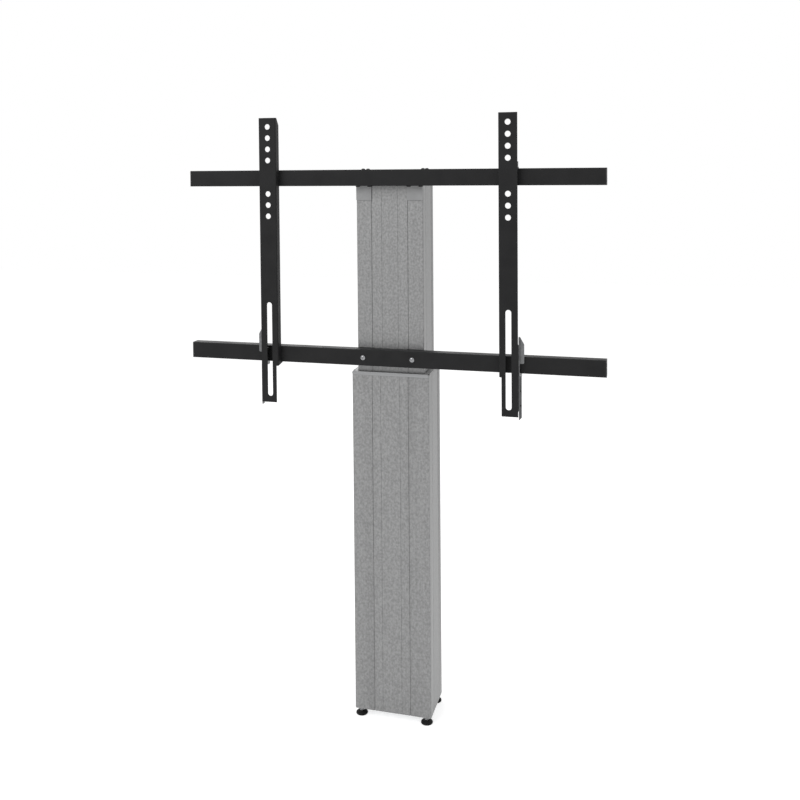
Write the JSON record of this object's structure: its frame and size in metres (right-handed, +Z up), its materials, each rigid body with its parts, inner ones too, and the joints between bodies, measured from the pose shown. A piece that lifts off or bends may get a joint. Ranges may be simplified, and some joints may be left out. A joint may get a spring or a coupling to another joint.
{
  "type": "tv lift mechanism",
  "caption": "Floor-standing powered television lift: a telescopic aluminium column on levelling feet raises two crossbars with sliding, latched screen arms.",
  "frame": {"origin": "on the floor, under the middle of the column, at the soles of the feet", "axes": "+Z up; -Y towards the viewer of the screen; +Y towards the wall; +X to the right as seen by the viewer"},
  "size_m": [0.942, 0.1896, 1.356],
  "materials": {
    "column": "satin, fine-grained, anodised",
    "trim": "satin",
    "black_steel": "satin black powder coat",
    "bracket_grey": "satin grey",
    "latch_zinc": "zinc plated",
    "zinc_plate": "zinc plated",
    "zinc_screw": "bright zinc plated",
    "black_screw": "blackened",
    "cast_housing": "as cast",
    "bronze": "machined",
    "bright_steel": "ground",
    "motor_paint": "satin",
    "glide_plastic": "natural",
    "black_plastic": "fine textured",
    "board": "lacquered",
    "foot_rubber": "matt"
  },
  "bodies": {
    "stand": {"outer_profile": "column", "collar": "column", "front_lip": "trim", "base_plate": "zinc_plate", "base_screws": "zinc_screw", "foot_lock_nuts": "zinc_screw", "gearbox_case": "cast_housing", "gearbox_cover": "cast_housing", "gearbox_screws": "zinc_screw", "lower_bush": "bronze", "bearing_outer_race": "bright_steel", "bearing_balls": "bright_steel", "motor_can": "motor_paint", "motor_cap": "motor_paint", "outer_glides": "glide_plastic", "column_brackets": "zinc_plate", "bracket_screws": "zinc_screw", "wall_plates": "zinc_plate", "bracket_bolts": "zinc_screw", "control_case": "black_plastic", "control_cover": "black_plastic", "circuit_board": "board", "power_inlet": "black_plastic"},
    "carriage": {"inner_profile": "column", "top_bracket": "bracket_grey", "top_screws": "black_screw", "push_tube": "bright_steel", "lead_nut": "bronze", "inner_glides": "glide_plastic", "upper_bar": "black_steel", "lower_bar": "black_steel", "bar_end_caps": "black_plastic", "bar_spacers": "black_steel", "lower_bar_screws": "zinc_screw", "lower_bar_nuts": "zinc_screw"},
    "lifting_screw": {"spindle": "bright_steel", "spindle_gear": "bright_steel", "spindle_guide": "glide_plastic", "bearing_inner_race": "bright_steel"},
    "motor_rotor": {"motor_shaft": "bright_steel", "motor_armature": "bright_steel", "motor_pinion": "bright_steel"},
    "foot_front_left": {"foot_pad_front_left": "foot_rubber", "foot_stud_front_left": "zinc_screw"},
    "foot_front_right": {"foot_pad_front_right": "foot_rubber", "foot_stud_front_right": "zinc_screw"},
    "foot_back_left": {"foot_pad_back_left": "foot_rubber", "foot_stud_back_left": "zinc_screw"},
    "foot_back_right": {"foot_pad_back_right": "foot_rubber", "foot_stud_back_right": "zinc_screw"},
    "left_arm": {"left_arm": "black_steel", "left_hook": "black_steel", "left_spring_housing": "black_steel", "left_latch_spring": "bright_steel"},
    "left_latch": {"left_latch": "latch_zinc"},
    "right_arm": {"right_arm": "black_steel", "right_hook": "black_steel", "right_spring_housing": "black_steel", "right_latch_spring": "bright_steel"},
    "right_latch": {"right_latch": "latch_zinc"}
  },
  "joints": [
    {"name": "lift", "type": "slide", "parent": "stand", "child": "carriage", "axis": [0, 0, 1], "range_m": [0, 0.5]},
    {"name": "screw_turn", "type": "hinge", "parent": "stand", "child": "lifting_screw", "pos_m": [0, 0, 0.3], "axis": [0, 0, 1], "range_deg": [-22500, 0]},
    {"name": "motor_turn", "type": "hinge", "parent": "stand", "child": "motor_rotor", "pos_m": [0.04, 0, 0.1], "axis": [0, 0, 1], "range_deg": [0, 67500]},
    {"name": "foot_front_left_adjust", "type": "slide", "parent": "stand", "child": "foot_front_left", "axis": [0, 0, -1], "range_m": [0, 0.012]},
    {"name": "foot_front_right_adjust", "type": "slide", "parent": "stand", "child": "foot_front_right", "axis": [0, 0, -1], "range_m": [0, 0.012]},
    {"name": "foot_back_left_adjust", "type": "slide", "parent": "stand", "child": "foot_back_left", "axis": [0, 0, -1], "range_m": [0, 0.012]},
    {"name": "foot_back_right_adjust", "type": "slide", "parent": "stand", "child": "foot_back_right", "axis": [0, 0, -1], "range_m": [0, 0.012]},
    {"name": "left_arm_slide", "type": "slide", "parent": "carriage", "child": "left_arm", "axis": [-1, 0, 0], "range_m": [-0.17, 0.13]},
    {"name": "left_latch_pull", "type": "slide", "parent": "left_arm", "child": "left_latch", "axis": [0, 0, -1], "range_m": [0, 0.008], "stiffness_N_per_m": 500, "springref_m": -0.006, "deforming": ["left_latch_spring"]},
    {"name": "right_arm_slide", "type": "slide", "parent": "carriage", "child": "right_arm", "axis": [1, 0, 0], "range_m": [-0.17, 0.13]},
    {"name": "right_latch_pull", "type": "slide", "parent": "right_arm", "child": "right_latch", "axis": [0, 0, -1], "range_m": [0, 0.008], "stiffness_N_per_m": 500, "springref_m": -0.006, "deforming": ["right_latch_spring"]}
  ],
  "couplings": [
    {"joint": "screw_turn", "follows": "lift", "rad_per_m": -785.4},
    {"joint": "motor_turn", "follows": "lift", "rad_per_m": 2356.2}
  ]
}
